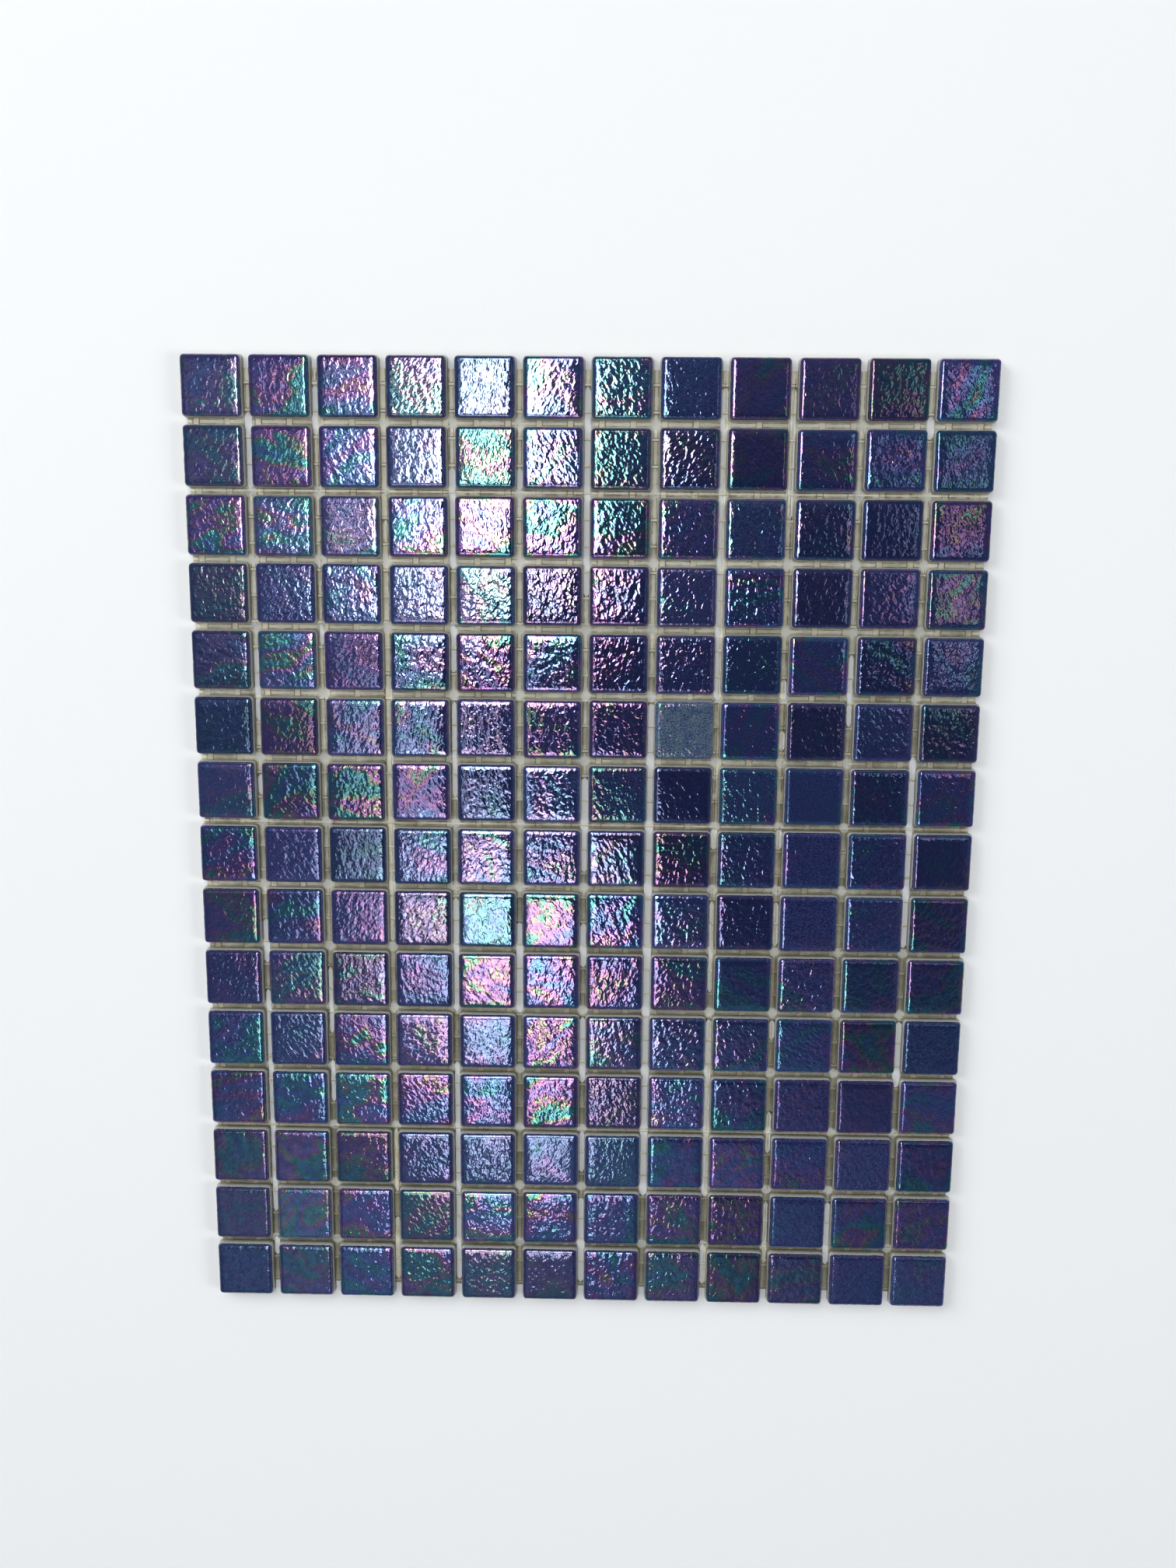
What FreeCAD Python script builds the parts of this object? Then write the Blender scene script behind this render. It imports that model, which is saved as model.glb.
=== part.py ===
import FreeCAD, Part
import math
import os
import random

# Mosaic tile sheet: rows of square glass tiles, stuck face up on a net by a film of glue.
# Millimetres. X runs along a row, Y up the sheet, Z up from the underside of the net.

columns = 12
rows = 15

# One tile and the open joint round it.
tile_back = 24.0         # square back, the widest part
tile_thick = 4.4
corner_cut = 1.1         # cut across each upright corner
joint = 2.3              # between two backs
pitch = tile_back + joint

# The tile's section: how far each ring lies inside the back, and how high above it.
wall_in, wall_high = 0.35, 0.66 * tile_thick
shoulder_in, shoulder_high = 0.8, 0.88 * tile_thick
face_in, face_high = 1.9, tile_thick

# Tiles are set in a loose grid: those inside the border sit a little off it.
off_grid = 0.09 * joint
off_square = math.degrees(0.05 * joint / tile_back)

# Backing, from the floor up: lengthwise yarns, crosswise yarns, glue film.
warp_thick = 0.2
warp_wide, warp_step, warp_phase = 2.3, 12.1, 5.5
weft_thick = 0.2
weft_wide, weft_step, weft_phase = 1.0, 10.15, 2.85
film_thick = 0.2
net_in_side = 1.5        # net and film stop short of the tile backs
net_in_end = 5.0

# The glue left some stretches of the lengthwise joints open, from one crosswise yarn to another.
# For each of those joints, left to right: the share of its length that is open.
open_share = [0.30, 0.35, 0.50, 0.60, 0.30, 0.75, 0.70, 0.70, 0.35, 0.12, 0.08]
open_runs_on = 0.45      # how far an open stretch tends to run on past a yarn
open_narrow, open_wide = 0.7 * joint, 1.5 * joint
open_from_yarn = 0.3     # glue kept beside the yarn at each end

sheet_x = columns * pitch - joint
sheet_y = rows * pitch - joint
net_x = sheet_x - 2 * net_in_side
net_y = sheet_y - 2 * net_in_end
weft_z = warp_thick
film_z = weft_z + weft_thick
tile_z = film_z + film_thick


def ring(inset, height):
    """Outline of a tile at one height: a square with its corners cut."""
    half = tile_back / 2 - inset
    flat = half - corner_cut
    side = [(half, -flat), (half, flat)]
    points = []
    for turns in range(4):
        points += side
        side = [(-y, x) for x, y in side]
    points = [FreeCAD.Vector(x, y, height) for x, y in points]
    return Part.makePolygon(points + points[:1])


def glass_tile():
    """Flat back, drawn-in wall, two sloping shoulders and a flat top."""
    section = [(0, 0), (wall_in, wall_high), (shoulder_in, shoulder_high), (face_in, face_high)]
    return Part.makeLoft([ring(*level) for level in section], True, True)


def tile_row(row, hand):
    """Loose tiles side by side; row 0 is the top one."""
    y = sheet_y / 2 - tile_back / 2 - row * pitch
    tiles = []
    for column in range(columns):
        x = -sheet_x / 2 + tile_back / 2 + column * pitch
        dx, dy, turn = [hand.uniform(-1, 1) for _ in range(3)]
        if column in (0, columns - 1) or row in (0, rows - 1):
            dx = dy = turn = 0
        tile = glass_tile()
        tile.rotate(FreeCAD.Vector(), FreeCAD.Vector(0, 0, 1), turn * off_square)
        tile.translate(FreeCAD.Vector(x + dx * off_grid, y + dy * off_grid, tile_z))
        tiles.append(tile)
    return Part.makeCompound(tiles)


def plate(x, y, z, dx, dy, dz):
    """A flat strip or plate centred on x and y, standing on z."""
    return Part.makeBox(dx, dy, dz, FreeCAD.Vector(x - dx / 2, y - dy / 2, z))


def yarn_lines(length, step, phase, wide):
    """Centre lines of the yarns that fit across the net, one of them at the phase."""
    room = (length - wide) / 2
    first = math.ceil((-room - phase) / step)
    last = math.floor((room - phase) / step)
    return [phase + n * step for n in range(first, last + 1)]


def lengthwise_yarns():
    lines = yarn_lines(net_x, warp_step, warp_phase, warp_wide)
    return Part.makeCompound([plate(x, 0, 0, warp_wide, net_y, warp_thick) for x in lines])


def crosswise_yarns():
    lines = yarn_lines(net_y, weft_step, weft_phase, weft_wide)
    return Part.makeCompound([plate(0, y, weft_z, net_x, weft_wide, weft_thick) for y in lines])


def open_stretches(share, hand):
    """Lowest and highest point of each open stretch along one lengthwise joint."""
    lines = yarn_lines(net_y, weft_step, weft_phase, weft_wide)
    edge = weft_wide / 2 + open_from_yarn
    stretches = []
    was_open = False
    for low, high in zip(lines, lines[1:]):
        chance = share + open_runs_on * ((1 - share) if was_open else -share)
        is_open = hand.random() < chance
        if is_open and was_open:
            stretches[-1][1] = high - edge
        elif is_open:
            stretches.append([low + edge, high - edge])
        was_open = is_open
    return stretches


def opening(x, low, high, wide):
    """Cutter for one open stretch: as wide as given, pointed at both ends."""
    half = wide / 2
    side = [(x - half, low + half), (x, low), (x + half, low + half)]
    side += [(x + half, high - half), (x, high), (x - half, high - half)]
    points = [FreeCAD.Vector(px, py, film_z) for px, py in side]
    outline = Part.makePolygon(points + points[:1])
    return Part.Face(outline).extrude(FreeCAD.Vector(0, 0, film_thick))


def dried_glue():
    """The film over the yarns, open where the glue did not close the joint."""
    hand = random.Random(7)
    cutters = []
    for number, share in enumerate(open_share[:columns - 1], 1):
        x = number * pitch - columns * pitch / 2
        for low, high in open_stretches(share, hand):
            cutters.append(opening(x, low, high, hand.uniform(open_narrow, open_wide)))
    film = plate(0, 0, film_z, net_x, net_y, film_thick)
    return film.cut(Part.makeCompound(cutters))


os.makedirs("parts", exist_ok=True)

lengthwise_yarns().exportStep("parts/net_warp.step")
crosswise_yarns().exportStep("parts/net_weft.step")
dried_glue().exportStep("parts/glue_film.step")

hand = random.Random(12)
for row in range(rows):
    tile_row(row, hand).exportStep("parts/tile_row_%02d.step" % (row + 1))
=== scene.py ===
import cmath
import math
import random

import bmesh
import bpy
from mathutils import Matrix, Vector, noise


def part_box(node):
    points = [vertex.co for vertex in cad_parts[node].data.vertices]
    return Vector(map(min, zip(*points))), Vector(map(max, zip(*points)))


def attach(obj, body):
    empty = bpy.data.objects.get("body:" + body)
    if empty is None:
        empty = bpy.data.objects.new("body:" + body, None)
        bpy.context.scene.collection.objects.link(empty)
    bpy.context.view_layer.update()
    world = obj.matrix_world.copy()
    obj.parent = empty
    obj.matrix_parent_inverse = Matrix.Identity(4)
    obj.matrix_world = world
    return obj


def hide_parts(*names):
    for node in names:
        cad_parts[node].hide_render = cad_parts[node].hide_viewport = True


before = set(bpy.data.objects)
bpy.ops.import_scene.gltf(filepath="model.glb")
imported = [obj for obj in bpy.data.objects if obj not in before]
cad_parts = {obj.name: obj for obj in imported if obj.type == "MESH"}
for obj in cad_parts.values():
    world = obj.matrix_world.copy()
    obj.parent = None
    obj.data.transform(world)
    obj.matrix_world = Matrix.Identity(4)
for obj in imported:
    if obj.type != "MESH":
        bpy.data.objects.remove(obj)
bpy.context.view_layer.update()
print("frame loaded")

mm = 0.001
sliver = 0.01 * mm
rowNodes = sorted(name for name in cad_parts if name.startswith("tile_row_"))


# A shader socket that takes part in sums: each operator adds its Math node.
class Sock:
    def __init__(self, finish, socket):
        self.finish = finish
        self.socket = socket

    def maths(self, operation, *values):
        return self.finish.put("Math", dict(enumerate(values)), operation=operation)

    def __add__(self, other):
        return self.maths("ADD", self, other)

    def __radd__(self, other):
        return self.maths("ADD", other, self)

    def __sub__(self, other):
        return self.maths("SUBTRACT", self, other)

    def __rsub__(self, other):
        return self.maths("SUBTRACT", other, self)

    def __mul__(self, other):
        return self.maths("MULTIPLY", self, other)

    def __rmul__(self, other):
        return self.maths("MULTIPLY", other, self)

    def __truediv__(self, other):
        return self.maths("DIVIDE", self, other)

    def __rtruediv__(self, other):
        return self.maths("DIVIDE", other, self)

    def __gt__(self, other):
        return self.maths("GREATER_THAN", self, other)

    def __lt__(self, other):
        return self.maths("LESS_THAN", self, other)

    def power(self, other):
        return self.maths("POWER", self, other)

    def size(self):
        return self.maths("ABSOLUTE", self)

    def whole(self):
        return self.maths("FLOOR", self)

    def part(self):
        return self.maths("FRACT", self)

    # Goes smoothly from bottom to top while the value goes from low to high.
    def rise(self, low, high, bottom=0.0, top=1.0):
        steps = {0: self, 1: low, 2: high, 3: bottom, 4: top}
        return self.finish.put("MapRange", steps, interpolation_type="SMOOTHSTEP")


# The nodes of one material, or of the world, and the few ways they are added.
class Finish:
    def __init__(self, owner):
        self.owner = owner
        owner.use_nodes = True
        self.tree = owner.node_tree
        self.tree.nodes.clear()

    def put(self, kind, values=(), out=0, stops=None, **settings):
        node = self.tree.nodes.new("ShaderNode" + kind)
        for key, value in settings.items():
            setattr(node, key, value)
        if stops:
            ramp = node.color_ramp
            while len(ramp.elements) < len(stops):
                ramp.elements.new(0.5)
            for element, (place, colour) in zip(ramp.elements, stops):
                element.position = place
                element.color = (*colour, 1)
        for key, value in dict(values).items():
            socket = node.inputs[key]
            if isinstance(value, Sock):
                self.tree.links.new(value.socket, socket)
            elif socket.type == "RGBA":
                socket.default_value = (*value, 1)
            else:
                socket.default_value = value
        return Sock(self, node.outputs[out])

    def mix(self, factor, a, b):
        return self.put("Mix", {0: factor, 6: a, 7: b}, out=2, data_type="RGBA")

    def vector(self, operation, *values):
        return self.put("VectorMath", dict(enumerate(values)), operation=operation)

    def apart(self, a, b):
        return self.put("VectorMath", {0: a, 1: b}, out=1, operation="DISTANCE")

    def stretch(self, vector, factor):
        return self.put("VectorMath", {0: vector, "Scale": factor}, operation="SCALE")

    def join(self, x, y, z=0.0):
        return self.put("CombineXYZ", {0: x, 1: y, 2: z})

    def split(self, vector):
        return [self.put("SeparateXYZ", {0: vector}, out=n) for n in range(3)]

    # The object's own coordinates, in metres.
    def onPiece(self):
        return self.put("TexCoord", out=3)

    def speck(self, where, scale, detail=2.0, rough=0.5, twist=0.0):
        values = {"Vector": where, "Scale": scale, "Detail": detail, "Roughness": rough}
        values["Distortion"] = twist
        return self.put("TexNoise", values)

    # A height in mm as a bump.
    def bump(self, height):
        return self.put("Bump", {"Strength": 1.0, "Distance": mm, "Height": height})

    def show(self, shader, output="OutputMaterial"):
        end = self.tree.nodes.new("ShaderNode" + output)
        self.tree.links.new(shader.socket, end.inputs["Surface"])
        return self.owner


def newFinish(name):
    return Finish(bpy.data.materials.new(name))


def newObject(name, bm):
    mesh = bpy.data.meshes.new(name)
    bm.to_mesh(mesh)
    bm.free()
    made = bpy.data.objects.new(name, mesh)
    bpy.context.scene.collection.objects.link(made)
    return made


# Adds a piece: its mesh becomes an object that rides on the sheet.
def addPiece(bm, name, material, slot, *nodes):
    piece = newObject(name, bm)
    piece.data.materials.append(material)
    piece.data.shade_smooth()
    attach(piece, "root")
    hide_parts(*nodes)
    return piece


tile = {
    "back": 24.0 * mm,
    "top": 4.39 * mm,
    "faceCells": 32,
    # From the face down, in mm: how far inside the back's edge, height over the back, corner radius.
    "levels": [
        (1.70, 4.20, 0.9), (1.34, 4.13, 1.0), (1.02, 4.02, 1.1), (0.76, 3.85, 1.2), (0.57, 3.58, 1.3),
        (0.43, 3.05, 1.4), (0.22, 2.20, 1.6), (0.04, 0.15, 1.8), (0.25, 0.00, 1.7),
    ],
    "crown": 0.10 * mm,
    "crownPower": 10,
    # The pressed ripple: height, length of a wave, how much longer it is along the stroke.
    "rippleHeight": 0.050 * mm,
    "rippleLength": 2.3 * mm,
    "rippleStretch": 2.0,
    "rippleEnds": 6,         # level where ripple and tilt have died away
    "finerWaves": 2.1,
    "finerShare": 0.5,
    "strokeAngle": 0.1,
    "strokeSpread": 0.45,
    "faintest": 0.35,
    "strongest": 1.20,
    "tilt": 0.004,
    "edgeWobble": 0.16 * mm,
    "wobbleScale": 400,
    "wobbleEnds": 7,         # level where the wall is straight again
    "rippleApart": 90,       # these two keep one tile's noise clear of the next one's
    "wobbleApart": 50,
    "turnRoom": 1.03,        # width of a turned tile against a straight one
    "seed": 5,
    # Tiles whose glaze came out pale and speckled: row and column, how pale.
    "frosted": {(6, 8): 1.0, (3, 2): 0.45, (14, 2): 0.45, (5, 2): 0.3},
}


# Where the frame has tiles: each one's centre and how far it is turned.
def tilePlaces(node):
    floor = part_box(node)[0].z
    corners = {tuple(round(c, 6) for c in v.co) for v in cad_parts[node].data.vertices}
    backs = sorted(c for c in corners if c[2] < floor + tile["top"] / 2)
    reach = tile["back"] * tile["turnRoom"]
    places = []
    while backs:
        first = backs[0][0]
        mine = [c for c in backs if c[0] < first + reach]
        backs = [c for c in backs if c[0] >= first + reach]
        centre = sum((Vector(c) for c in mine), Vector()) / len(mine)
        # The fourth power brings the corners of all four sides to one angle.
        swing = sum(complex(c[0] - centre.x, c[1] - centre.y) ** 4 for c in mine)
        places.append((centre, cmath.phase(-swing) / 4))
    return places


# Pulls a point of a square outline onto its rounded corner.
def roundCorner(x, y, half, radius):
    dx, dy = abs(x) - (half - radius), abs(y) - (half - radius)
    if dx > 0 and dy > 0:
        pull = max(dx, dy) / math.hypot(dx, dy)
        x = math.copysign(half - radius + dx * pull, x)
        y = math.copysign(half - radius + dy * pull, y)
    return x, y


# The smooth tile, before its own ripple: a dense face, rings down the wall, a flat back.
def blankTile():
    bm = bmesh.new()
    cells = tile["faceCells"]
    depth = bm.verts.layers.float.new("depth")
    half = tile["back"] / 2
    inset, height, radius = tile["levels"][0]
    bmesh.ops.create_grid(bm, x_segments=cells, y_segments=cells, size=1)
    rim = [edge for edge in bm.edges if edge.is_boundary]
    square = {v: v.co.copy() for edge in rim for v in edge.verts}  # each rim point's place on a unit square
    faceHalf = half - inset * mm
    for v in bm.verts:
        crown = tile["crown"] * (1 - max(abs(v.co.x), abs(v.co.y)) ** tile["crownPower"])
        x, y = roundCorner(v.co.x * faceHalf, v.co.y * faceHalf, faceHalf, radius * mm)
        v.co = (x, y, height * mm + crown)
    for number, (inset, height, radius) in enumerate(tile["levels"][1:], 1):
        new = bmesh.ops.extrude_edge_only(bm, edges=rim)["geom"]
        ring = [g for g in new if isinstance(g, bmesh.types.BMVert)]
        ringHalf = half - inset * mm
        lower = {}
        for v in ring:
            above = [e.other_vert(v) for e in v.link_edges if e.other_vert(v) in square]
            lower[v] = square[above[0]]
        for v in ring:
            x, y = roundCorner(lower[v].x * ringHalf, lower[v].y * ringHalf, ringHalf, radius * mm)
            v.co = (x, y, height * mm)
            v[depth] = number
        square = lower
        rim = [e for e in bm.edges if e.is_boundary]
    bmesh.ops.contextual_create(bm, geom=rim)
    bmesh.ops.recalc_face_normals(bm, faces=bm.faces)
    mesh = bpy.data.meshes.new("blankTile")
    bm.to_mesh(mesh)
    bm.free()
    return mesh


# Height of the pressed ripple at a point of one tile, about -1 to 1.
def ripple(x, y, chance, angle):
    length = tile["rippleLength"]
    u = (x * math.cos(angle) + y * math.sin(angle)) / length
    v = (y * math.cos(angle) - x * math.sin(angle)) / length / tile["rippleStretch"]
    far = tile["rippleApart"]
    where = Vector((u + chance.x * far, v + chance.y * far, chance.z * far))
    return noise.noise(where) + tile["finerShare"] * noise.noise(where * tile["finerWaves"])


def tileRow(number, node, blank, material, dice):
    bm = bmesh.new()
    depth = bm.verts.layers.float.new("depth")
    spot = bm.verts.layers.float_vector.new("spot")
    luck = bm.verts.layers.float_vector.new("luck")
    for column, (centre, turn) in enumerate(tilePlaces(node), 1):
        chance = Vector((dice.random(), dice.random(), dice.random()))
        angle = dice.gauss(tile["strokeAngle"], tile["strokeSpread"])
        strength = tile["faintest"] + (tile["strongest"] - tile["faintest"]) * (chance.x * 7 % 1)
        tilt = Vector((dice.gauss(0, tile["tilt"]), dice.gauss(0, tile["tilt"])))
        frost = tile["frosted"].get((number, column), 0)
        pale = 1 + frost - chance.z if frost else 0
        before = len(bm.verts)
        bm.from_mesh(blank)
        bm.verts.ensure_lookup_table()
        place = Matrix.Translation(centre) @ Matrix.Rotation(turn, 4, "Z")
        for v in bm.verts[before:]:
            level = v[depth]
            v[luck] = chance + Vector((0, 0, pale))
            v[spot] = (v.co.x / mm, v.co.y / mm, level)
            if level < tile["rippleEnds"]:
                fade = 1 - level / tile["rippleEnds"]
                wave = ripple(v.co.x, v.co.y, chance, angle)
                v.co.z += tile["rippleHeight"] * strength * fade * wave
                v.co.z += v.co.xy.dot(tilt) * fade
                v.co.z = min(v.co.z, tile["top"])
            if 0 < level < tile["wobbleEnds"]:
                side = Vector((v.co.x, v.co.y, 0)).normalized()
                where = v.co * tile["wobbleScale"] + chance * tile["wobbleApart"]
                v.co -= side * tile["edgeWobble"] * abs(noise.noise(where))
            v.co = place @ v.co
    return addPiece(bm, "tiles_%02d" % number, material, "blue_glass", node)


# Noise is given as scale per mm, detail, roughness and distortion.
# A range is given as low, high and, where they aren't 0 and 1, what it goes from and to.
glaze = {
    "turn": 1.6,
    "farApart": 40,
    "stroke": (1.0, 0.72, 1.0),
    "swathe": (0.05, 0.09, 1.0),
    "veins": (0.64, 1.0, 0.45, 0.3),
    "grain": (2.6, 2.0, 0.6),
    "bands": (1.0, 2.0, 0.45, 0.6),
    "patches": (0.28, 3.0, 0.6),
    "flecks": (2.0, 2.0, 0.6),
    # Which colour the thin film has: how veins, patches and grain move it, the spread
    # from tile to tile, the swing of the bands in the calmest tile and how it grows.
    "dapple": (0.45, 0.35, 0.20),
    "filmStart": 0.1,
    "filmSpread": 0.7,
    "bandSwing": (0.8, 2.0),
    "hues": [
        (0.00, (0.16, 0.72, 0.66)),
        (0.12, (0.22, 0.46, 0.90)),
        (0.34, (0.42, 0.40, 0.92)),
        (0.52, (0.74, 0.30, 0.84)),
        (0.64, (0.92, 0.36, 0.56)),
        (0.70, (0.84, 0.62, 0.34)),
        (0.76, (0.34, 0.66, 0.30)),
        (0.86, (0.12, 0.70, 0.56)),
        (1.00, (0.16, 0.72, 0.66)),
    ],
    "paleBlue": (0.40, 0.54, 0.84),
    "paleBlueShare": (0.3, 0.9, 0.0, 0.45),
    # The glass under the film.
    "darkNavy": (0.0036, 0.0047, 0.025),
    "lightNavy": (0.0175, 0.0240, 0.082),
    "navyShade": (0.0, 1.0, 0.55, 1.5),
    "navyGrainAndGlints": (0.38, 0.68),
    "darkFrost": (0.008, 0.018, 0.075),
    "paleFrost": (0.082, 0.114, 0.140),
    "frostFlecks": (0.36, 0.62),
    "fleckPatches": 0.35,
    # How much of the film shows.
    "lustre": (0.25, 0.75, 0.15, 0.34),
    "lustreByTile": (0.6, 0.7),
    "lustreLostByFrost": 0.8,
    "lustreGrain": (0.3, 0.7, 0.6, 1.3),
    "lustreDownWall": (1.5, 4.5, 1.0, 0.6),
    # Hammered relief in mm, and how it dies towards the rim, where grain takes over.
    "hammered": (0.062, 0.12),
    "step": (0.40, 0.60, 0.0, 0.005),
    "calmRim": (9.6, 11.0, 1.0, 0.5),
    "rimGrain": (9.4, 10.6, 0.006, 0.030),
    "smooth": 0.06,
    # The bare pale body of the glass below the glaze's lower edge.
    "lowerEdge": (4.70, 5.15),
    "edgePatches": 0.8,
    "edgeGrain": 1.5,
    "wall": (0.32, 0.33, 0.33),
    "foot": (0.38, 0.37, 0.32),
    "wallToFoot": (5.0, 7.0),
    "clouds": (0.27, 0.28, 0.28),
    "cloudShare": (0.3, 0.7, 0.0, 0.6),
    "pits": (0.16, 0.16, 0.14),
    "pitShare": (0.5, 0.7, 0.0, 0.4),
    "bareRough": 0.35,
    "ior": 1.52,
}


# Blue iridescent glaze over pale glass. Vertex attributes: spot is x and y on the tile in mm
# and the level, luck is three chances of the tile, the third over 1 where it is frosted.
# The fractions of a chance's multiples serve as further chances.
def glazedGlass():
    look = newFinish("glazedGlass")
    spot = look.put("Attribute", attribute_name="spot", out=1)
    luck = look.put("Attribute", attribute_name="luck", out=1)
    x, y, level = look.split(spot)
    luckX, luckY, luckZ = look.split(luck)

    angle = luckX * glaze["turn"] - glaze["turn"] / 2
    flat = {"Vector": look.join(x, y), "Angle": angle}
    turned = look.put("VectorRotate", flat, rotation_type="Z_AXIS")
    shift = look.stretch(luck, glaze["farApart"])
    stroke = look.vector("ADD", look.vector("MULTIPLY", turned, glaze["stroke"]), shift)
    cloud = look.vector("ADD", turned, shift)
    swathe = look.vector("MULTIPLY", cloud, glaze["swathe"])
    veins = look.speck(stroke, *glaze["veins"])
    grain = look.speck(cloud, *glaze["grain"])
    bands = look.speck(swathe, *glaze["bands"])
    patches = look.speck(cloud, *glaze["patches"])

    byVeins, byPatches, byGrain = glaze["dapple"]
    dapple = (veins - 0.5) * byVeins + (patches - 0.5) * byPatches + (grain - 0.5) * byGrain
    calmest, growth = glaze["bandSwing"]
    swing = (bands - 0.5) * (luckZ * growth + calmest)
    phase = (luckY * glaze["filmSpread"] + swing + dapple + glaze["filmStart"]).part()
    hue = look.put("ValToRGB", {0: phase}, stops=glaze["hues"])
    hue = look.mix((luckX * 3.0).part().rise(*glaze["paleBlueShare"]), hue, glaze["paleBlue"])

    shade = (luckY * 5.0).part().rise(*glaze["navyShade"])
    light = look.stretch(look.join(*glaze["lightNavy"]), shade)
    # Lighter speckles in the navy: grain of the glass, partly painted glints of the fine relief.
    navy = look.mix(grain.rise(*glaze["navyGrainAndGlints"]), glaze["darkNavy"], light)
    flecks = look.speck(cloud, *glaze["flecks"]) + (patches - 0.5) * glaze["fleckPatches"]
    frosted = look.mix(flecks.rise(*glaze["frostFlecks"]), glaze["darkFrost"], glaze["paleFrost"])
    frost = (luckZ - 1.0).rise(0.0, 1.0)
    navy = look.mix(frost, navy, frosted)

    least, growth = glaze["lustreByTile"]
    lustre = patches.rise(*glaze["lustre"]) * (luckZ * growth + least)
    lustre = lustre * (1 - frost * glaze["lustreLostByFrost"])
    lustre = lustre * grain.rise(*glaze["lustreGrain"]) * level.rise(*glaze["lustreDownWall"])

    least, growth = glaze["hammered"]
    rough = (luckX * 7.0).part()
    edge = look.put("Math", {0: x.size(), 1: y.size()}, operation="MAXIMUM")
    relief = veins * (rough * growth + least) + veins.rise(*glaze["step"])
    relief = relief * edge.rise(*glaze["calmRim"]) + grain * edge.rise(*glaze["rimGrain"])
    bump = look.bump(relief)
    glass = look.put("BsdfPrincipled", {
        "Base Color": navy, "Roughness": glaze["smooth"], "IOR": glaze["ior"], "Normal": bump,
    })
    metal = look.put("BsdfPrincipled", {
        "Base Color": hue, "Metallic": 1.0, "Roughness": glaze["smooth"], "Normal": bump,
    })
    coat = look.put("MixShader", {0: lustre, 1: glass, 2: metal})

    body = look.mix(level.rise(*glaze["wallToFoot"]), glaze["wall"], glaze["foot"])
    body = look.mix(patches.rise(*glaze["cloudShare"]), body, glaze["clouds"])
    body = look.mix(grain.rise(*glaze["pitShare"]), body, glaze["pits"])
    side = look.put("BsdfPrincipled", {
        "Base Color": body, "Roughness": glaze["bareRough"], "IOR": glaze["ior"],
    })
    bare = level + (patches - 0.5) * glaze["edgePatches"] + (grain - 0.5) * glaze["edgeGrain"]
    bare = bare.rise(*glaze["lowerEdge"])
    return look.show(look.put("MixShader", {0: bare, 1: coat, 2: side}))


blank = blankTile()
glazed = glazedGlass()
dice = random.Random(tile["seed"])
for number, node in enumerate(rowNodes, 1):
    tileRow(number, node, blank, glazed, dice)
bpy.data.meshes.remove(blank)
print("tiles made")


film = {
    "pitch": 26.3 * mm,
    "cellTop": 0.36 * mm,
    "overWarp": 0.46 * mm,
    "overWeft": 0.58 * mm,
    "beside": 0.3 * mm,      # width of the slope down from a yarn
    "skin": 0.08 * mm,
    "reach": 1.75 * mm,      # half of the widest opening
    "longestEdge": 3.0 * mm,
    "rimCuts": 5,
    "tip": 0.06,             # width left at an opening's tip, as a share squared
    "wobble": 0.14 * mm,
    "wobbleScale": 300,
}

yarn = {
    "thick": 0.14 * mm,
    "bulge": 0.04 * mm,
    "pieceLength": 3.4 * mm,
    "cellsAcross": (3, 2),   # of a lengthwise and of a crosswise yarn
    "weftTop": 0.33 * mm,
    "weftWave": 0.06 * mm,
    # Width of a worn yarn against the frame's, and how it varies along and between yarns.
    "worn": 0.94,
    "wear": 0.12,
    "wearBetween": 900,
    "wearAlong": 250,
}


# The yarns of one direction as the frame has them: (centre, half width) across that direction.
def yarnLines(node, axis):
    spans = sorted({round(v.co[axis], 6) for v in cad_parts[node].data.vertices})
    return [((a + b) / 2, (b - a) / 2) for a, b in zip(spans[::2], spans[1::2])]


warps = yarnLines("net_warp", 0)
wefts = yarnLines("net_weft", 1)
warpStep = warps[1][0] - warps[0][0]
weftStep = wefts[1][0] - wefts[0][0]


# The openings in the frame's film: centre line, half width, lowest and highest point of each.
def filmOpenings():
    bm = bmesh.new()
    bm.from_mesh(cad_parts["glue_film"].data)
    bmesh.ops.remove_doubles(bm, verts=bm.verts, dist=sliver)
    level = [face for face in bm.faces if abs(face.normal.z) > 0.5]
    bmesh.ops.delete(bm, geom=level, context="FACES")
    # What is left are upright walls: each linked group is one opening's, or the outer rim.
    openings = []
    waiting = set(bm.verts)
    while waiting:
        group, front = set(), {waiting.pop()}
        while front:
            group |= front
            front = {edge.other_vert(v) for v in front for edge in v.link_edges} - group
        waiting -= group
        left, right = min(v.co.x for v in group), max(v.co.x for v in group)
        if right - left < film["pitch"]:
            low, high = min(v.co.y for v in group), max(v.co.y for v in group)
            centre = round((left + right) / 2, 5)  # the same for all in one joint
            openings.append((centre, (right - left) / 2, low, high))
    bm.free()
    return sorted(openings)


def filmHeight(x, y):
    if any(abs(y - centre) < half + sliver for centre, half in wefts):
        return film["overWeft"]
    if any(abs(x - centre) < half + sliver for centre, half in warps):
        return film["overWarp"]
    return film["cellTop"]


# The opening that a point lies in or on the edge of, or None.
def openingAt(openings, x, y, slack):
    for opening in openings:
        centre, half, low, high = opening
        if abs(x - centre) < film["reach"] + slack and low - slack < y < high + slack:
            return opening


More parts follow.
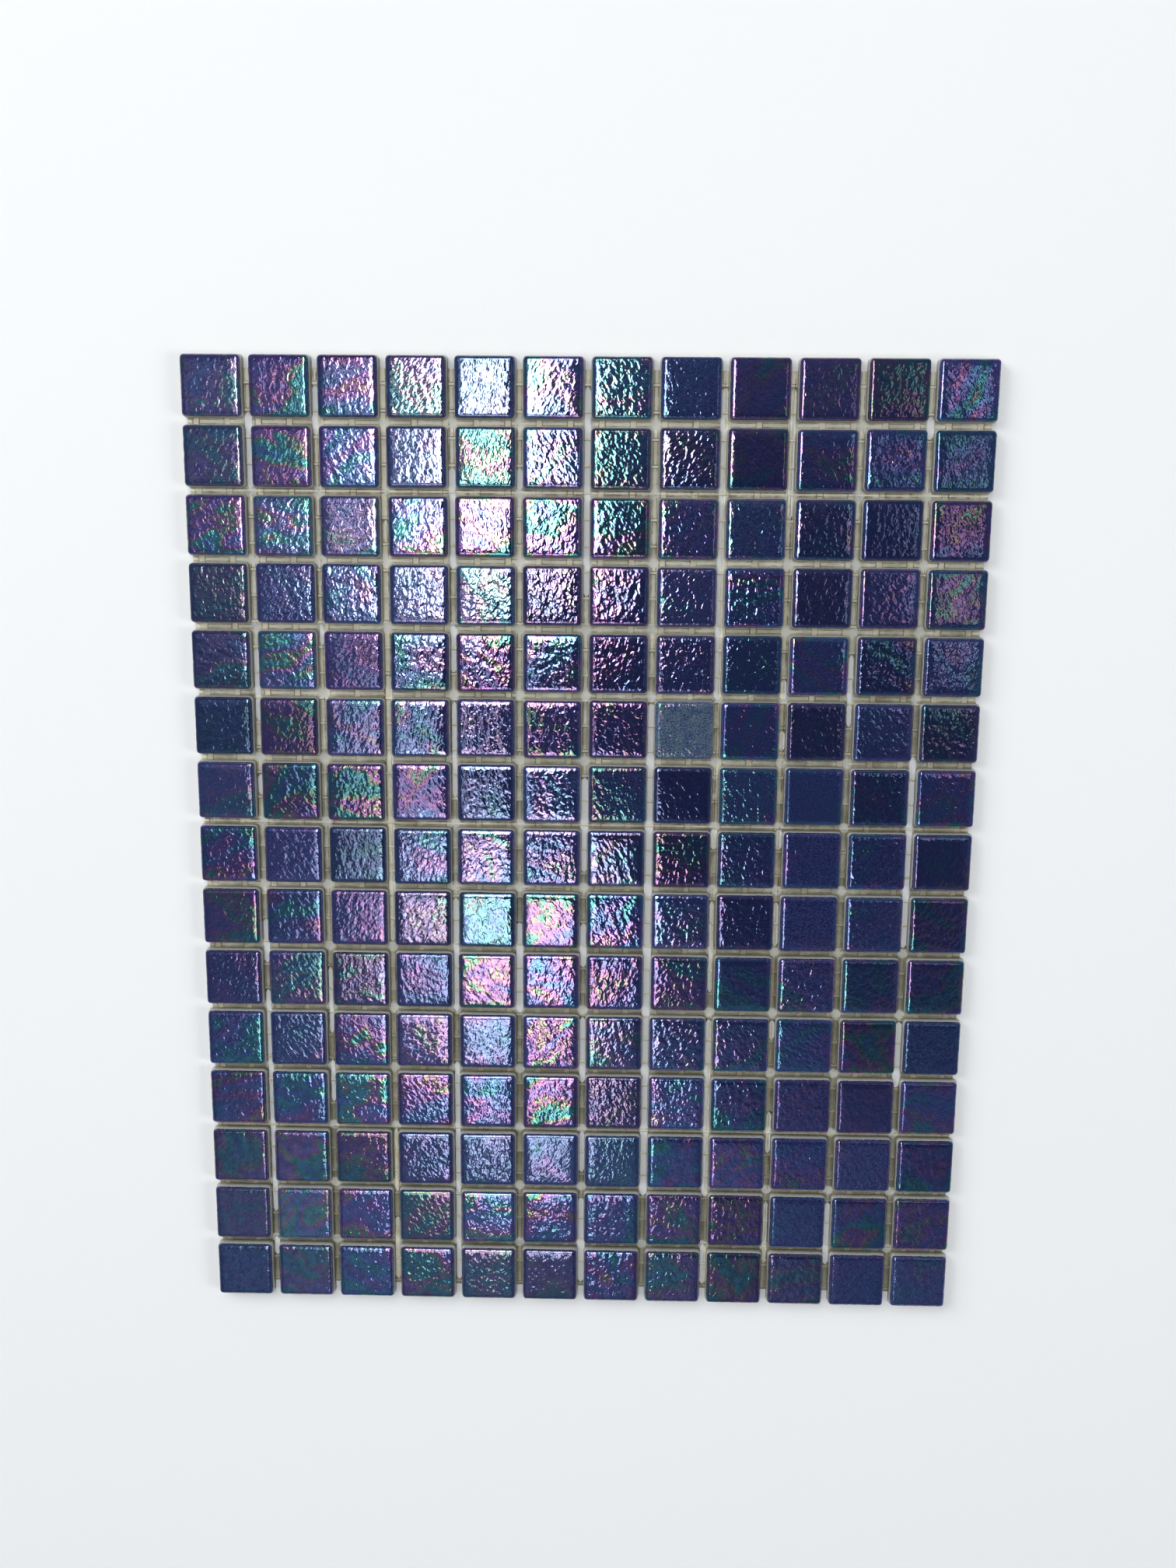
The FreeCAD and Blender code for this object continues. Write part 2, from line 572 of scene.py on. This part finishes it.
# A skin that dips between the yarns, with its openings cut out and their rims rounded.
def gluedFilm(material):
    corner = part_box("glue_film")[1]
    openings = filmOpenings()
    bm = bmesh.new()
    bmesh.ops.create_grid(bm, x_segments=1, y_segments=1, size=1)
    bmesh.ops.scale(bm, vec=(corner.x, corner.y, 1), verts=bm.verts)
    joints = sorted({opening[0] for opening in openings})
    cuts = [(0, x + side * film["reach"]) for x in joints for side in (-1, 1)]
    for axis, lines in ((0, warps), (1, wefts)):
        for centre, half in lines:
            for away in (half, half + film["beside"]):
                cuts += [(axis, centre - away), (axis, centre + away)]
    for axis, at in cuts:
        normal = Vector((1, 0, 0)) if axis == 0 else Vector((0, 1, 0))
        geom = bm.verts[:] + bm.edges[:] + bm.faces[:]
        bmesh.ops.bisect_plane(bm, geom=geom, dist=sliver, plane_co=normal * at, plane_no=normal)
    for v in bm.verts:
        v.co.z = filmHeight(v.co.x, v.co.y)

    gone = []
    for face in bm.faces:
        centre = face.calc_center_median()
        if openingAt(openings, centre.x, centre.y, 0):
            gone.append(face)
    bmesh.ops.delete(bm, geom=gone, context="FACES")
    long = [e for e in bm.edges if e.is_boundary and e.calc_length() > film["longestEdge"]]
    long = [e for e in long if max(abs(v.co.x) for v in e.verts) < corner.x - sliver]
    long = [e for e in long if max(abs(v.co.y) for v in e.verts) < corner.y - sliver]
    bmesh.ops.subdivide_edges(bm, edges=long, cuts=film["rimCuts"])
    for v in bm.verts:
        opening = openingAt(openings, v.co.x, v.co.y, sliver) if v.is_boundary else None
        if opening:
            x, half, low, high = opening
            room = min(v.co.y - low, high - v.co.y) / half
            wide = half * math.sqrt(max(film["tip"], 1 - max(0, 1 - room) ** 2))
            where = Vector((v.co.x, v.co.y, 0)) * film["wobbleScale"]
            wide += film["wobble"] * noise.noise(where)
            v.co.x = x + math.copysign(wide, v.co.x - x)
    manySided = [face for face in bm.faces if len(face.verts) > 4]
    bmesh.ops.triangulate(bm, faces=manySided)
    bmesh.ops.solidify(bm, geom=bm.faces[:], thickness=film["skin"])
    bmesh.ops.recalc_face_normals(bm, faces=bm.faces)
    return addPiece(bm, "glue_skin", material, "dried_glue", "glue_film")


# Flat yarns with worn edges; the crosswise ones sag between the lengthwise ones.
def yarns(name, node, axis, material):
    lines = wefts if axis else warps
    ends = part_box(node)[1]
    length = ends.x if axis else ends.y
    cells, pieces = yarn["cellsAcross"][axis], int(2 * length / yarn["pieceLength"])
    bm = bmesh.new()
    for centre, half in lines:
        made = bmesh.ops.create_grid(bm, x_segments=cells, y_segments=pieces, size=1)
        for v in made["verts"]:
            across, along = v.co.x, v.co.y * length
            where = Vector((centre * yarn["wearBetween"], along * yarn["wearAlong"], across))
            wide = half * (yarn["worn"] + yarn["wear"] * noise.noise(where))
            drop = yarn["bulge"] * across * across
            if axis:
                wave = yarn["weftWave"] * math.cos(2 * math.pi * (along - warps[0][0]) / warpStep)
                v.co = (along, centre + across * wide, yarn["weftTop"] + wave - drop)
            else:
                v.co = (centre + across * wide, along, ends.z - drop)
    bmesh.ops.recalc_face_normals(bm, faces=bm.faces)
    up = sum(face.normal.z for face in bm.faces)
    if up < 0:
        bmesh.ops.reverse_faces(bm, faces=bm.faces)
    bmesh.ops.solidify(bm, geom=bm.faces[:], thickness=yarn["thick"])
    bmesh.ops.recalc_face_normals(bm, faces=bm.faces)
    return addPiece(bm, name, material, "glass_yarn", node)


# Colours and ranges of the dried glue, in mm. Noise and ranges are given as for the glaze.
glue = {
    "blotch": (0.10, 3.0, 0.6),
    "fine": (1.1, 3.0, 0.65),
    "worn": (0.22, 2.0, 0.6),
    "tileEdge": 0.74,        # from the middle of a joint to the glue's line along the tiles
    "inCell": (0.66, 0.76, 1.0, 0.0),
    "yarnEdge": 0.1,
    # A grey patch of painted shade at each joint crossing.
    "crossingShade": (1.6, 2.4, 1.0, 0.0),
    "crossingShadeWobble": 1.5,
    # Painted shade: yellower and darker towards the bottom and right, by x and by y; real aging of the glue
    # adds blotches by chance.
    "shadeAndAging": (0.0012, -0.0034, 1.6),
    "shadeAndAgingStart": -0.02,
    "agedAndShaded": (0.2, 1.1),
    # Each colour when fresh and unshaded, and when aged and darkened by the painted shade.
    "olive": ((0.48, 0.45, 0.34), (0.155, 0.148, 0.100)),
    "cream": ((0.66, 0.64, 0.54), (0.25, 0.245, 0.185)),
    "overWarp": ((0.66, 0.61, 0.46), (0.30, 0.275, 0.18)),
    "overWeft": ((0.72, 0.69, 0.57), (0.34, 0.325, 0.245)),
    "oliveCells": (0.2, 1.0, 0.0, 0.6),
    "warpShare": 0.7,
    "weftShare": 0.6,
    "crossingShadeGrey": (0.50, 0.50, 0.47),
    "crossingShadeShare": 0.8,
    # Dark lines along yarns and tiles, partly brown glue and partly painted shadow lines beside them, and
    # rust-brown stains on them.
    "alongWarp": (0.10, 0.30, 1.0, 0.0),
    "alongWeft": (0.08, 0.26, 1.0, 0.0),
    "alongTile": (0.06, 0.20, 1.0, 0.0),
    "linesShown": (0.42, 0.70, 0.20, 1.0),
    "linesByChance": 0.2,
    "shadowLineBrown": (0.13, 0.095, 0.05),
    "lineShare": 0.8,
    "rustPlaces": (0.47, 0.62),
    "rustGrains": (0.42, 0.56),
    "rust": (0.075, 0.035, 0.012),
    "rustByTile": 0.7,
    "rustAnywhere": 0.08,
    "dust": (0.50, 0.46, 0.32),
    "dustShare": (0.3, 0.7, 0.0, 0.25),
    "bumpHeight": 0.10,
    "lineDepth": 0.06,
    "gloss": (0.3, 0.7, 0.30, 0.50),
    "ior": 1.45,
}


# How far a coordinate is from the nearest of evenly spaced lines.
def fromLine(where, step, phase):
    return (((where - phase) / step + 0.5).part() - 0.5).size() * step


def driedGlue():
    look = newFinish("driedGlue")
    place = look.stretch(look.onPiece(), 1 / mm)
    x, y = look.split(place)[:2]
    pitch, warpGap, weftGap = film["pitch"] / mm, warpStep / mm, weftStep / mm
    warpAt, warpHalf = warps[0][0] / mm, warps[0][1] / mm
    weftAt, weftHalf = wefts[0][0] / mm, wefts[0][1] / mm
    offWarp = fromLine(x, warpGap, warpAt)
    offWeft = fromLine(y, weftGap, weftAt)
    offColumn = fromLine(x, pitch, 0.0)
    offRow = fromLine(y, pitch, pitch / 2)

    cellX = ((x - warpAt) / warpGap).whole()
    cellY = ((y - weftAt) / weftGap).whole()
    alongRow = (offColumn > offRow) * 3.0
    chance = look.put("TexWhiteNoise", {"Vector": look.join(cellX, cellY, alongRow)})
    blotch = look.speck(place, *glue["blotch"])
    fine = look.speck(place, *glue["fine"])

    nearest = look.put("Math", {0: offColumn, 1: offRow}, operation="MINIMUM")
    fromCrossing = (offColumn * offColumn + offRow * offRow).power(0.5)
    edge = glue["yarnEdge"]
    inCell = nearest.rise(*glue["inCell"])
    onWarp = offWarp.rise(warpHalf - edge, warpHalf + edge, 1.0, 0.0)
    onWeft = offWeft.rise(weftHalf - edge, weftHalf + edge, 1.0, 0.0)
    # Painted shade: a grey patch at every joint crossing stands in for the floor below, seen in shade
    # through the crossing.
    crossingShade = (fromCrossing + (fine - 0.5) * glue["crossingShadeWobble"]).rise(*glue["crossingShade"])

    # Painted shade towards the bottom and right, mixed with blotchy aging of the glue.
    byX, byY, byChance = glue["shadeAndAging"]
    agedAndShaded = (x * byX + y * byY + blotch * byChance + glue["shadeAndAgingStart"]).rise(*glue["agedAndShaded"])
    olive = look.mix(agedAndShaded, *glue["olive"])
    cell = look.mix(chance.rise(*glue["oliveCells"]), look.mix(agedAndShaded, *glue["cream"]), olive)
    colour = look.mix(inCell, olive, cell)
    colour = look.mix(onWarp * glue["warpShare"], colour, look.mix(agedAndShaded, *glue["overWarp"]))
    colour = look.mix(onWeft * glue["weftShare"], colour, look.mix(agedAndShaded, *glue["overWeft"]))
    colour = look.mix(crossingShade * glue["crossingShadeShare"], colour, glue["crossingShadeGrey"])

    # Partly painted shadow: dark lines beside the yarns and along the tiles, also standing for brown glue
    # lines.
    ends = (offWarp - warpHalf - edge).size().rise(*glue["alongWarp"])
    ends = ends + (offWeft - weftHalf - edge).size().rise(*glue["alongWeft"])
    sides = (nearest - glue["tileEdge"]).size().rise(*glue["alongTile"])
    sides = sides * (1 - onWarp) * (1 - onWeft)
    worn = look.speck(place, *glue["worn"])
    shown = (worn + chance * glue["linesByChance"]).rise(*glue["linesShown"])
    lines = look.put("Clamp", {0: (ends + sides) * shown}) * (1 - crossingShade)
    colour = look.mix(lines * glue["lineShare"], colour, glue["shadowLineBrown"])
    rusty = worn.rise(*glue["rustPlaces"]) * fine.rise(*glue["rustGrains"])
    onLines = look.put("Clamp", {0: ends + sides * glue["rustByTile"] + glue["rustAnywhere"]})
    colour = look.mix(rusty * onLines, colour, glue["rust"])
    colour = look.mix(fine.rise(*glue["dustShare"]), colour, glue["dust"])

    bump = look.bump(fine * glue["bumpHeight"] - lines * glue["lineDepth"])
    rough = fine.rise(*glue["gloss"])
    return look.show(look.put("BsdfPrincipled", {
        "Base Color": colour, "Roughness": rough, "IOR": glue["ior"], "Normal": bump,
    }))


fibre = {
    "across": 6000,          # strands per metre
    "along": 160,
    "through": 1000,
    "strands": (1.0, 3.0, 0.6),
    "wear": (0.3, 3.0, 0.6),
    "shadow": (0.56, 0.53, 0.40),
    "glass": (0.80, 0.78, 0.66),
    "glassShare": (0.35, 0.65),
    "stain": (0.62, 0.54, 0.32),
    "stainShare": (0.5, 0.7),
    "bumpHeight": 0.06,
    "rough": 0.45,
}


# Fibres drawn out along the yarn: along y for axis 0, along x for axis 1.
def glassYarn(name, axis):
    look = newFinish(name)
    drawn = (fibre["across"], fibre["along"], fibre["through"])
    if axis:
        drawn = (fibre["along"], fibre["across"], fibre["through"])
    strand = look.speck(look.vector("MULTIPLY", look.onPiece(), drawn), *fibre["strands"])
    wear = look.speck(look.stretch(look.onPiece(), 1 / mm), *fibre["wear"])
    colour = look.mix(strand.rise(*fibre["glassShare"]), fibre["shadow"], fibre["glass"])
    colour = look.mix(wear.rise(*fibre["stainShare"]), colour, fibre["stain"])
    bump = look.bump(strand * fibre["bumpHeight"])
    return look.show(look.put("BsdfPrincipled", {
        "Base Color": colour, "Roughness": fibre["rough"], "Normal": bump,
    }))


gluedFilm(driedGlue())
yarns("yarns_lengthwise", "net_warp", 0, glassYarn("lengthwiseYarn", 0))
yarns("yarns_crosswise", "net_weft", 1, glassYarn("crosswiseYarn", 1))
print("net and glue made")


studio = {
    "floorSize": 4.4,
    "floorColour": (0.69, 0.69, 0.685),
    "floorRough": 0.9,
    "lensMm": 30.56,
    "clipStart": 0.01,
    "cameraAt": (0.0111, 0.1257, 0.5299),
    "cameraTurn": (-10.235, 1.147, 0.510),
    # Each soft light: where it hangs, width, length, how bright its face is next to white.
    # Those overhead face straight down and are mirrored by the glaze.
    "overhead": {
        "window": ((-0.21, 0.65, 2.0), 0.23, 1.36, 15.0),
        "windowEdge": ((-0.51, 0.35, 2.0), 0.04, 0.75, 4.5),
        "windowLow": ((-0.17, -0.615, 2.0), 0.27, 0.37, 6.0),
        "windowFoot": ((-0.165, -1.00, 2.0), 0.15, 0.40, 5.0),
        "wallGlow": ((-0.39, -0.45, 2.0), 0.18, 0.70, 2.0),
        "doorway": ((0.67, 0.20, 2.0), 0.10, 0.70, 1.3),
    },
    # Those at the sides face the sheet, and only light it.
    "aside": {
        "sideLeft": ((-2.6, 1.7, 1.8), 2.0, 2.0, 8.4),
        "sideBack": ((-0.5, 2.7, 1.9), 1.4, 1.2, 5.0),
        "sideRight": ((2.6, -0.4, 1.6), 1.2, 1.2, 8.5),
    },
    # Parts of the sky: direction, distance from it where they start and stop fading, brightness.
    "skyDark": ((0.11, -0.15, 1.0), 0.13, 0.36, 0.045),
    "skyBright": ((-0.28, 0.05, 1.0), 0.06, 0.24, 0.25),
    "skyFoot": ((-0.15, -0.60, 1.0), 0.08, 0.40, 0.26),
    "skyMid": 0.17,
    "skyLow": 0.80,
    "lowBand": (0.22, 0.52, 1.0, 0.0),
    "skyBlue": (0.60, 0.78, 1.0),
    "skyWhite": (1.0, 1.0, 1.0),
}


def softLight(name, at, wide, long, glow):
    data = bpy.data.lights.new(name, "AREA")
    data.shape = "RECTANGLE"
    data.size = wide
    data.size_y = long
    data.energy = glow * math.pi * wide * long
    light = bpy.data.objects.new(name, data)
    light.location = at
    bpy.context.scene.collection.objects.link(light)
    return light


def paleFloor():
    bm = bmesh.new()
    bmesh.ops.create_grid(bm, x_segments=1, y_segments=1, size=studio["floorSize"] / 2)
    floor = newObject("floor", bm)
    look = newFinish("paleFloor")
    plain = {"Base Color": studio["floorColour"], "Roughness": studio["floorRough"]}
    floor.data.materials.append(look.show(look.put("BsdfPrincipled", plain)))


# Pale near the horizon and dimmer overhead, with a dark part that the right-hand tiles mirror
# and two brighter ones beside and below the window.
def studioSky():
    look = Finish(bpy.data.worlds.new("studio"))
    way = look.put("TexCoord")
    height = look.split(way)[2]

    def skyPart(name, outside):
        towards, start, stop, brightness = studio[name]
        middle = tuple(Vector(towards).normalized())
        return look.apart(way, middle).rise(start, stop, brightness, outside)

    glow = skyPart("skyDark", studio["skyMid"])
    glow = glow + skyPart("skyBright", 0.0)
    glow = glow + skyPart("skyFoot", 0.0)
    low = height.rise(*studio["lowBand"])
    strength = glow * (1 - low) + low * studio["skyLow"]
    colour = look.mix(low, studio["skyBlue"], studio["skyWhite"])
    return look.show(look.put("Background", {"Color": colour, "Strength": strength}), "OutputWorld")


paleFloor()
for name, settings in studio["overhead"].items():
    softLight(name, *settings)
for name, settings in studio["aside"].items():
    light = softLight(name, *settings)
    light.rotation_euler = light.location.to_track_quat("Z", "Y").to_euler()
    light.visible_glossy = False
bpy.context.scene.world = studioSky()
bpy.context.scene.view_settings.view_transform = "Standard"

lens = bpy.data.cameras.new("camera")
lens.lens = studio["lensMm"]
lens.clip_start = studio["clipStart"]
camera = bpy.data.objects.new("camera", lens)
camera.location = studio["cameraAt"]
camera.rotation_euler = [math.radians(a) for a in studio["cameraTurn"]]
bpy.context.scene.collection.objects.link(camera)
bpy.context.scene.camera = camera
print("studio set")
